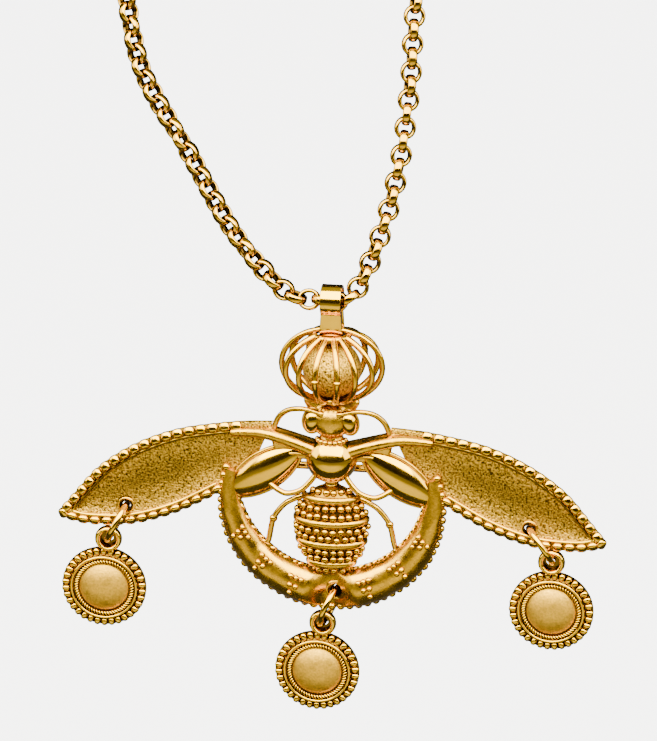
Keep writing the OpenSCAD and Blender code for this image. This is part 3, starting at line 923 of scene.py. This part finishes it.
class JEWEL_OT_cage(Operator):
    """Adds the cage: outer ring, inner wires between two collars, and the loose ball in it"""

    bl_idname = "jewel.cage"
    bl_label = "Cage"

    def execute(self, context):
        s = in_mm(context.scene.jewel_brooch)
        r = s.cage_wire_r
        rx, ry, rz = INNER_RADII
        a = around(96)
        outer = line_of((s.cage_rx - r) * np.sin(a), 0, CAGE_Z + (s.cage_rz - r) * np.cos(a))
        shells = [wire(outer, r, 12, closed=True)]
        start = math.degrees(math.asin(COLLAR_R / rx))
        along = np.radians(np.linspace(start, 180 - start, 33))
        for side in (-1, 1):
            for turned in WIRE_TURNS:
                c, n = cos_sin(side * turned)
                path = line_of(rx * n * np.sin(along), -ry * c * np.sin(along), CAGE_Z + rz * np.cos(along))
                shells.append(wire(path, r * (1.02 + 0.08 * np.abs(np.cos(along))), 12, first=(c, n, 0)))
                if turned == WIRE_TURNS[0]:
                    shells.append(egg(path[len(path) // 2], (0.42, 0.42, 0.26), 3))
        a = around(60)
        for end in (-1, 1):
            z = CAGE_Z + end * rz * math.cos(math.radians(start))
            collar = line_of(COLLAR_R * np.sin(a), -COLLAR_R * ry / rx * np.cos(a), z)
            shells.append(wire(collar, r, 12, closed=True, first=(0, 0, 1)))
        # Solder that closes both collars
        for z in (2.98, -3.3):
            shells.append(egg((0, 0, CAGE_Z + z), (1.62, 1.45, 0.16)))
        made("cage_wires", shells, CAST)
        core = ball((0, 0, BALL_Z), s.core_r, 5)
        made("cage_ball", [core], BLASTED, ["cage_core"])
        return {"FINISHED"}


def flat_backed(shell):
    """The shell with everything behind the brooch's flat back pressed onto it."""
    points, faces = shell
    return line_of(points[:, 0], np.minimum(points[:, 1], BACK_Y), points[:, 2]), faces


class JEWEL_OT_head(Operator):
    """Adds the bee's head under the cage, its oval eyes, feelers and beaded collar"""

    bl_idname = "jewel.head"
    bl_label = "Head"

    def execute(self, context):
        s = in_mm(context.scene.jewel_brooch)
        foot = CAGE_Z - s.cage_rz
        collar_z = INNER_RADII[2] * COLLAR_SHARE
        saddle = wrapped(
            ball((0.8, -0.1, foot + 0.05), 0.5), ball((2.4, -0.1, foot + 0.35), 0.5),
            ball((1.4, -0.3, -12.2), 0.7),
        )
        low_web = wrapped(ball((1.6, 0, CAGE_Z - collar_z), 0.35), ball((1.8, 0, foot + 0.45), 0.35))
        top = CAGE_Z + s.cage_rz * 0.86
        top_web = wrapped(ball((1.7, 0, CAGE_Z + collar_z), 0.3), ball((2, 0, top), 0.3))
        bar = wrapped(*[ball((side * 1.5, 0, foot + 0.1), 0.4) for side in (-1, 1)])
        skull = egg((0, -0.4, -13), (2.1, 1.5, 1.85))
        neck = egg((0, -0.3, -15), (1.3, 1.1, 0.7), 3)
        snout = egg((0, -1.2, -13.7), (0.75, 0.7, 0.6), 3)
        snout = wrapped(snout, egg((0, -0.8, -14.6), (0.4, 0.5, 0.3), 3))
        head = fused("head", [skull, neck, snout, bar, *both(saddle, low_web, top_web)], 0.1, 14)
        finished(head, SATIN)

        lean = turn("y", -9)
        middle = np.array([1.85, -0.8, -12.9])
        eye = placed(lump(5), middle, lean @ np.diag([0.95, 1, 1.35]))
        made("eyes", both(eye), POLISHED)
        a = around(64)
        bezel = line_of(0.97 * np.cos(a), -0.12, 1.37 * np.sin(a)) @ lean.T + middle
        tip = (0.9, -1.3, -12)
        path = [tip, (2.6, -1.2, -11.6), (4.3, -0.7, -12), (5.4, -0.3, -13.1), (6, -0.1, -14.7)]
        feeler = smoothed(path, 3)
        trim = [
            wire(bezel, 0.13, 8, closed=True),
            wire(feeler, s.leg_r * np.linspace(0.85, 1.05, len(feeler)), 12),
            egg(tip, (0.4, 0.36, 0.4), 3),
        ]
        collar = [
            egg((1.42 * math.sin(b), -0.25 - 1.25 * math.cos(b), -15.05), (0.27, 0.27, 0.25), 3)
            for b in np.radians(np.linspace(-82, 82, 9))
        ]
        made("head_trim", [*both(*trim), *collar], CAST)
        return {"FINISHED"}


def leaf_share(rise):
    """How much slimmer a leaf is than an ellipse, where the ellipse rises to this share."""
    return 0.62 + 0.38 * rise


class JEWEL_OT_hind_wings(Operator):
    """Adds the polished hind wings with their rims, and the roots that hold all four wings"""

    bl_idname = "jewel.hind_wings"
    bl_label = "Hind wings"

    def execute(self, context):
        points, faces = lump(5)
        slim = leaf_share(np.sqrt(np.maximum(0, 1 - points[:, 0] ** 2)))
        turned = turn("y", HIND_TURN)
        slimmed = points * line_of(1, slim, slim)
        leaf = placed((slimmed, faces), HIND_WING, turned @ np.diag(HIND_RADII))
        made("hind_wings", both(flat_backed(leaf)), POLISHED)
        long_r, _, wide_r = HIND_RADII
        rim = []
        for b in around(96):
            wide = math.sin(b) * leaf_share(abs(math.sin(b)))
            rim.append(turned @ (long_r * math.cos(b), 0, wide_r * wide) + HIND_WING - (0, 0.1, 0))
        vein = smoothed([(2.3, -0.5, -17), (3.8, -0.52, -16.8), (5.4, -0.5, -17.2)], 3)
        vein_r = 0.2 * np.sin(np.linspace(0.35, math.pi - 0.1, len(vein))) ** 0.5
        veins = both(wire(rim, 0.2, 10, closed=True), wire(vein, vein_r, 8))
        made("wing_veins", veins, CAST)

        arm = smoothed([(1.6, -0.6, -16.4), (4.2, -0.7, -15.4), (7.2, -0.5, -14.8), (10, -0.3, -15)], 3)
        corners = [(1.8, -15.6), (6.3, -14.3), (5.5, -17.4), (2.2, -17.4)]
        sheet = wrapped(*[egg((x, 0.1, z), (0.22, 0.5, 0.22), 2) for x, z in corners])
        roots = fused("wing_roots", both(wire(arm, np.linspace(0.78, 0.42, len(arm)), 14), sheet), 0.1, 8)
        finished(roots, SATIN)
        return {"FINISHED"}


class JEWEL_OT_bee_body(Operator):
    """Adds the polished thorax, the abdomen with its smooth and granulated stripes, and the legs"""

    bl_idname = "jewel.bee_body"
    bl_label = "Bee body"

    def execute(self, context):
        s = in_mm(context.scene.jewel_brooch)
        thorax = flat_backed(egg(THORAX, THORAX_RADII, 5))
        made("thorax", [thorax], POLISHED)
        centre = np.array(ABDOMEN)
        radii = np.array([s.abdomen_rx, ABDOMEN_DEPTH, s.abdomen_rz])
        points, faces = lump(5)
        taper = 1 + ABDOMEN_TAPER * points[:, 2:]
        tapered = points * np.hstack([taper, taper, np.ones_like(taper)])
        core = placed((tapered, faces), centre, np.diag(radii - 0.15))
        tail = wrapped(egg((0, -0.2, -28.6), (1.1, 0.8, 0.8), 3), egg((0, 0, -30.1), (0.4, 0.3, 0.3), 2))
        stalk = wire([(0, 0, z) for z in (-19.4, -20, -20.6, -21)], 0.7, 14)
        base = fused("abdomen", [core, tail, stalk], 0.12, 4)
        # Painted shade between the granules, and none behind
        depths = np.array([v.co.y / MM - HANG[1] for v in base.data.vertices])
        marked_for_shade(base.data, 0.55 * np.clip((0.5 - depths) / 0.6, 0, 1))
        finished(base, CAST)

        rng = random.Random(SEED + 1)
        granules, bands = [], []
        for row in range(ABDOMEN_ROWS):
            h = ABDOMEN_END * ((2 * row + 1) / ABDOMEN_ROWS - 1)
            belt = math.sqrt(1 - h * h) * (1 + ABDOMEN_TAPER * h)
            # Front half of the row, by the ellipse's own run
            b = np.radians(np.linspace(-90, 90, 181))
            line = line_of(radii[0] * belt * np.sin(b), -radii[1] * belt * np.cos(b), radii[2] * h)
            if row % STRIPE_ROWS == 1:
                bands.append(wire(centre + spread(line, 60), 0.4, 14, first=(0, 0, 1), flat=0.75))
                continue
            count = max(1, round(run_of(line) / (GRANULE_STEP * s.granule_d)))
            for place in spread(line, 2 * count + 1)[row % 2::2]:
                size = s.granule_d / 2 * rng.uniform(0.94, 1.08)
                shift = np.array([rng.gauss(0, 0.04), 0, rng.gauss(0, 0.04)])
                granules.append(ball(centre + place + shift, size))
        made("granules", granules, CAST)
        made("abdomen_bands", bands, BANDS)

        front = [(1.5, -1, -18.8), (2.8, -1.4, -20.3), (4.6, -1.3, -20.9), (6.2, -0.7, -20.2)]
        knee_at = (5.9, -0.3, -24.2)
        hind = [(2.5, -0.3, -21.4), (4.5, -0.4, -22.3), knee_at, (6.4, -0.2, -26.6), (7.4, 0, -28.8)]
        legs = [wire(smoothed(path, 3), s.leg_r, 12) for path in (front, hind)]
        knee = egg(knee_at, (0.42, 0.38, 0.42), 3)
        made("legs", both(*legs, knee), CAST)
        return {"FINISHED"}


def crescent_width(s, a):
    return s.crescent_w - CRESCENT_THINS * (abs(a) / CRESCENT_END) ** 2


def crescent_front(s, a):
    """How far the crescent stands forward: least at its lowest point, where the hole is."""
    near = min(1, abs(a) / FLAT_SPAN)
    return FLAT_FRONT + (CRESCENT_DEEP * crescent_width(s, a) - FLAT_FRONT) * near * near * (3 - 2 * near)


def on_crescent(a, r):
    c, n = cos_sin(a)
    return np.array([r * n, 0, CRESCENT_Z - r * c])


def crescent_point(s, a, turned, lift=0):
    """A point of the crescent's skin, at an angle along it and a turn round its section."""
    w = crescent_width(s, a)
    c, n = cos_sin(turned)
    deep = crescent_front(s, a) if n > 0 else min(BACK_Y, crescent_front(s, a))
    middle = s.crescent_r - w / 2
    return on_crescent(a, middle + (w / 2 + lift) * c) - np.array([0, (deep + lift) * n, 0])


class JEWEL_OT_crescent(Operator):
    """Adds the crescent moon, its beaded edge, rope, granule clusters and the middle drop's hole"""

    bl_idname = "jewel.crescent"
    bl_label = "Crescent"

    def execute(self, context):
        s = in_mm(context.scene.jewel_brooch)
        rows = [
            [crescent_point(s, a, t) for t in np.arange(40) * 9]
            for a in np.linspace(-CRESCENT_END, CRESCENT_END, 217)
        ]
        points, faces = skin(rows)
        body = drilled("crescent", mesh_of("crescent", [(wavered(points, 0.05, 2.6), faces)]), "centre")
        finished(body, SATIN)

        rng = random.Random(SEED + 2)
        trim = []
        for a in np.linspace(-CRESCENT_END, CRESCENT_END, CRESCENT_BEADS + 1):
            size = s.edge_bead_d / 2 * rng.uniform(0.93, 1.06)
            trim.append(ball(on_crescent(a, s.crescent_r - 0.15) - (0, 0.1, 0), size, 3))
        # Raised ring round the hole of the middle drop
        x, z = DROPS["centre"][:2]
        trim.append(hoop(x, -0.45, z, 0.92, 0.2))
        # Rope along the inner edge: two strands twisted together
        at = np.linspace(-1, 1, ROPE_TURNS * 12)
        for strand in (0, math.pi):
            path = []
            for share in at:
                a = (CRESCENT_END - 4) * share
                swing = math.pi * ROPE_TURNS * share + strand
                inner = s.crescent_r - crescent_width(s, a) + 0.1 + ROPE_R * math.cos(swing)
                path.append(on_crescent(a, inner) - (0, 0.28 + ROPE_R * math.sin(swing), 0))
            trim.append(wire(path, 0.15, 7))
        for b in CLUSTER_ANGLES:
            for side in (-1, 1):
                step = math.degrees(CLUSTER_STEP / (s.crescent_r - crescent_width(s, b) / 2))
                for count, turned in CLUSTER_ROWS:
                    for k in range(count):
                        a = side * b + (k - (count - 1) / 2) * step
                        size = 0.3 * rng.uniform(0.95, 1.05)
                        trim.append(ball(crescent_point(s, a, turned, 0.06), size, 3))
        made("crescent_trim", trim, CAST)
        return {"FINISHED"}


def wing_outline(step):
    """Points at equal steps round the wing's edge, top edge first, and their inward directions."""
    sections = smoothed(WING_SECTIONS, 3)
    edge = np.vstack([sections[:, :2], sections[::-1, 2:]])
    count = round(run_of(edge) / step)
    ahead = unit(np.gradient(spread(edge, 4 * count + 1), axis=0))[::4]
    return spread(edge, count + 1), ahead, np.stack([ahead[:, 1], -ahead[:, 0]], 1)


def covered(x, z):
    """True where the wing's edge lies under its root or under the hind wing."""
    across, _, up = turn("y", -HIND_TURN) @ np.array([x - HIND_WING[0], 0, z - HIND_WING[2]])
    return x < 9.3 and z > -16 or (across / HIND_RADII[0]) ** 2 + (up / HIND_RADII[2]) ** 2 < 1.2


def wing_plate(half_t, rim):
    """The plate with its dished field, and how much painted shade each of its points gets."""
    # Across the field: share of the width, and depth in half thicknesses
    field = [(0.02 + 0.96 * k / 20, -0.12 + 0.62 * (1 - (k / 10 - 1) ** 2)) for k in range(21)]
    rows = []
    for top_x, top_z, low_x, low_z in smoothed(WING_SECTIONS, 4):
        top, low = np.array([top_x, 0, top_z]), np.array([low_x, 0, low_z])
        tall = np.linalg.norm(low - top)
        down = (low - top) / tall
        edge = min(rim, tall / 3)
        room = tall - 2 * edge - 0.2
        # Places round the section, each with its depth: top edge, field, lower edge, back
        section = [(top, 0.7), (top, -0.35), (top + 0.1 * down, -0.5), (top + edge * down, -0.5)]
        section += [(top + (edge + 0.1 + share * room) * down, depth) for share, depth in field]
        section += [(low - edge * down, -0.5), (low - 0.1 * down, -0.5), (low, -0.35), (low, 0.7)]
        section += [(low - 0.12 * down, 1), ((low + top) / 2, 1), (top + 0.12 * down, 1)]
        rows.append([place + [0, depth * half_t, 0] for place, depth in section])
    # Painted shade along the dished field's middle, fading towards its edges and its ends
    shade_paint = np.zeros(len(rows[0]))
    shade_paint[4:25] = [0.7 * max(0, 1 - (2 * share - 1) ** 2) ** 1.5 for share, _ in field]
    # Painted shade on the rim between the teeth too
    shade_paint[1:4] = shade_paint[25:29] = 0.75
    fade = np.sin(np.linspace(0, math.pi, len(rows))) ** 0.6
    return skin(rows), np.append(np.outer(fade, shade_paint), [0, 0])


class JEWEL_OT_wings(Operator):
    """Adds the wings: dished, sandblasted plates with toothed and polished rims"""

    bl_idname = "jewel.wings"
    bl_label = "Wings"

    def execute(self, context):
        s = in_mm(context.scene.jewel_brooch)
        half_t = s.wing_t / 2
        rim = s.rim_w
        plate, shade_paint = wing_plate(half_t, rim)
        for side, shell in (("left", mirrored(plate)), ("right", plate)):
            name = f"wing_plate_{side}"
            wing = drilled(name, marked_for_shade(mesh_of(name, [shell]), shade_paint), side)
            finished(wing, BLASTED, sharp_deg=35)

        # Each tooth leans outwards, so the upper ones catch the light and the lower ones are in shade
        c, n = cos_sin(TOOTH_LEAN_DEG)
        half_sizes = np.array(TOOTH_SHARES) * (s.tooth_step, half_t, rim)
        teeth = []
        for (x, z), (ax, az), (nx, nz) in zip(*wing_outline(s.tooth_step)):
            if covered(x, z):
                continue
            ways = np.array([(ax, 0, az), (n * nx, c, n * nz), (c * nx, -n, c * nz)])
            axes = (ways * half_sizes[:, None]).T
            centre = np.array([x, -0.15 * half_t, z]) + 0.42 * rim * np.array([nx, 0, nz])
            teeth.append(placed(lump(3, 3), centre, axes))
        made("wing_teeth", both(*teeth), POLISHED)

        fine, _, fine_in = wing_outline(0.4)
        keep = np.array([not covered(x, z) for x, z in fine])
        x, z = (fine + 1.1 * rim * fine_in)[keep].T
        lines = both(wire(line_of(x, -0.42 * half_t, z), 0.18, 8))
        # The line under the upper rim gets painted shade, as it lies in the rim's shade
        points = joined(lines)[0]
        sections = np.array(WING_SECTIONS)
        middle = np.interp(np.abs(points[:, 0]), sections[:, ::2].mean(1), sections[:, 1::2].mean(1))
        shaded = np.where(points[:, 2] > middle, 0.85, 0.0)
        # Thin bright rims round the holes
        rims = [hoop(x, 0.06, z, 0.77, 0.12) for x, z in (DROPS["left"][:2], DROPS["right"][:2])]
        shade_paint = np.append(shaded, np.zeros(len(joined(rims)[0])))
        made("wing_lines", [*lines, *rims], POLISHED, shade_paint=shade_paint)
        return {"FINISHED"}


def spokes(count):
    """Outward and sideways directions at equal steps round a disc."""
    for b in around(count):
        yield np.array([math.cos(b), math.sin(b), 0]), np.array([-math.sin(b), math.cos(b), 0])


def disc_shells(s):
    """The dome, the plate and the trim of a disc, round its loop's centre and facing minus Y."""
    middle = np.array([0, 0, -DISC_HANGS])
    facing = turn("x", 90)
    r = s.disc_r
    crown = [(DOME_R * t, 1.0 - 0.72 * t ** 2.2) for t in np.linspace(0, 1, 28)]
    dome = lathe([*crown, (DOME_R + 0.03, 0.2), (0, 0.15)], 96)
    front = [(0, 0.16), (DOME_R, 0.16), (3.1, 0.16), (3.42, 0.24), (3.7, 0), (r - 0.15, -0.05)]
    back = [(r - 0.01, -0.12), (r - 0.02, -0.28), (r - 0.12, -0.4), (r - 0.3, -0.45), (0, -0.45)]
    plate = lathe([*front, *back], 96)
    trim = []
    # Rope ring: short slanting strokes, as a twisted wire shows them
    for out, aside in spokes(ROPE_STROKES):
        axes = np.stack([0.29 * unit(out + 0.7 * aside), 0.1 * unit(aside - 0.7 * out), (0, 0, 0.26)], 1)
        trim.append(placed(lump(2, 2.2), ROPE_RING_R * out + np.array([0, 0, 0.32]), axes))
    a = around(96)
    plain = line_of(PLAIN_RING_R * np.cos(a), PLAIN_RING_R * np.sin(a), 0.38)
    trim.append(wire(plain, 0.16, 8, True, (0, 0, 1)))
    for out, aside in spokes(s.rim_beads):
        axes = np.stack([0.43 * out, 0.32 * aside, (0, 0, 0.36)], 1)
        trim.append(placed(lump(3, 2.6), (r - 0.42) * out + np.array([0, 0, 0.06]), axes))
    loop = placed(torus(LOOP_R, 0.3, 0.5, 14, 48), axes=facing)
    dome, plate, *trim = [placed(p, middle, facing) for p in (dome, plate, *trim)]
    return dome, plate, [*trim, loop]


class JEWEL_OT_drops(Operator):
    """Adds the three discs and the jump rings that they hang on"""

    bl_idname = "jewel.drops"
    bl_label = "Drops"

    def execute(self, context):
        s = in_mm(context.scene.jewel_drops)
        ring = torus(s.jump_r, s.jump_wire_r, s.jump_wire_r, 14, 72)
        dome, plate, trim = disc_shells(s)
        eyelets = [washer(jump_ring_at(name, 0.4), 1.05, 0.15, 0.62) for name in DROPS]
        # Painted shade on their fronts only, inside the holes
        made("eyelets", eyelets, CAST, shade_paint=np.where(joined(eyelets)[0][:, 1] < 0.4, 1.0, 0.0))
        for name, (x, z, lean, turned, tilt) in DROPS.items():
            hole = np.array([x, 0, z])
            axes, down = ring_axes(lean, turned)
            wound = placed(ring, hole + s.jump_r * down, axes @ turn("x", 90))
            made(f"jump_hoop_{name}", [wound], RINGS, [f"jump_ring_{name}"])
            hung = functools.partial(placed, centre=hole + 2 * s.jump_r * down, axes=turn("y", -tilt))
            node = [f"disc_{name}"]
            made(f"disc_dome_{name}", [hung(dome)], DOMES, node)
            clean = [hung(p) for p in trim]
            deep = [hung(plate), washer(jump_ring_at(name, 0.35, low=True), 1, 0.22, 0.45)]
            # Painted shade on the plate's front between the beads and on the front of the ring in the loop;
            # none behind
            shade_paint = np.where(joined(deep)[0][:, 1] < 0.3, 0.9, 0.0)
            shade_paint = np.append(np.zeros(len(joined(clean)[0])), shade_paint)
            made(f"disc_trim_{name}", [*clean, *deep], DISCS, node, shade_paint=shade_paint)
        return {"FINISHED"}


class JEWEL_OT_pin(Operator):
    """Adds the pin across the back: hinge, rivet, stem and catch"""

    bl_idname = "jewel.pin"
    bl_label = "Pin"

    def execute(self, context):
        home = HANG + PIN
        plate_y = BACK_Y + 0.05 - PIN[1]
        ears = [block((-1.3, plate_y, -1.26), (1.3, plate_y + 0.35, 1.26), 0.08)]
        half = 0.3
        edge = [(0, half), (0.8, half), (0.85, half - 0.05)]
        ear = lathe([*edge, *[(r, -h) for r, h in edge[::-1]]], 40)
        for z in (-0.96, 0.96):
            ears.append(placed(ear, (0, 0, z)))
            ears.append(block((-0.85, plate_y, z - half), (0.85, 0, z + half), 0.05))
        made("hinge_ears", ears, BACK, ["pin_hinge"], home=home)

        head = [(0, 1.48), (0.4, 1.48), (0.53, 1.42), (0.55, 1.32), (0.52, 1.28), (0.35, 1.28)]
        rivet = lathe([*head, *[(r, -z) for r, z in head[::-1]]], 32)
        made("hinge_rivet", [rivet], POLISHED, ["pin_rivet"], home=home)

        reach = 16.3
        side = [(0, 0.6), (0.78, 0.6), (0.85, 0.53)]
        knuckle = lathe([*side, *[(r, -h) for r, h in side[::-1]]], 40)
        point = [(0.4, reach), (0.3, reach + 0.6), (0.16, reach + 1.4), (0.07, reach + 1.9), (0, reach + 2)]
        stem = placed(lathe([(0, -0.3), (0.4, -0.2), *point], 24), axes=turn("y", 90))
        made("pin_needle", [knuckle, stem], NEEDLE, ["pin_stem"], "pin", home)

        # Catch: a foot plate, two cheeks and the floor between them
        catch = [
            block((reach - dx, plate_y, z_low), (reach + dx, y_high, z_high), edge)
            for dx, y_high, z_low, z_high, edge in (
                (1.2, plate_y + 0.35, -1.3, 1.3, 0.08), (0.7, 0.5, -0.95, -0.5, 0.08),
                (0.7, 0.5, 0.5, 0.95, 0.08), (0.7, -0.5, -0.5, 0.5, 0.02),
            )
        ]
        made("catch_jaws", catch, BACK, ["pin_catch"], home=home)
        return {"FINISHED"}


OPERATORS = [
    JEWEL_OT_stage, JEWEL_OT_chain, JEWEL_OT_clasp, JEWEL_OT_bail, JEWEL_OT_cage, JEWEL_OT_head,
    JEWEL_OT_hind_wings, JEWEL_OT_bee_body, JEWEL_OT_crescent, JEWEL_OT_wings, JEWEL_OT_drops, JEWEL_OT_pin,
]
GROUPS = {
    "jewel_chain": ChainSizes,
    "jewel_brooch": BroochSizes,
    "jewel_drops": DropSizes,
    "jewel_colours": GoldColours,
}


class VIEW3D_PT_pendant_brooch(Panel):
    """Lists the pieces, and the sizes and colours that they are made from"""

    bl_label = "Pendant brooch"
    bl_space_type = "VIEW_3D"
    bl_region_type = "UI"
    bl_category = "Pendant brooch"

    def draw(self, context):
        for operator in OPERATORS:
            self.layout.operator(operator.bl_idname)
        for name, group in GROUPS.items():
            box = self.layout.box()
            for field in group.__annotations__:
                box.prop(getattr(context.scene, name), field)


CLASSES = [*GROUPS.values(), *OPERATORS, VIEW3D_PT_pendant_brooch]


def register():
    for cls in CLASSES:
        bpy.utils.register_class(cls)
    for name, group in GROUPS.items():
        setattr(bpy.types.Scene, name, PointerProperty(type=group))


def unregister():
    for name in GROUPS:
        delattr(bpy.types.Scene, name)
    for cls in reversed(CLASSES):
        bpy.utils.unregister_class(cls)


def main():
    register()
    for operator in OPERATORS:
        group, name = operator.bl_idname.split(".")
        getattr(getattr(bpy.ops, group), name)()


if __name__ == "__main__":
    main()
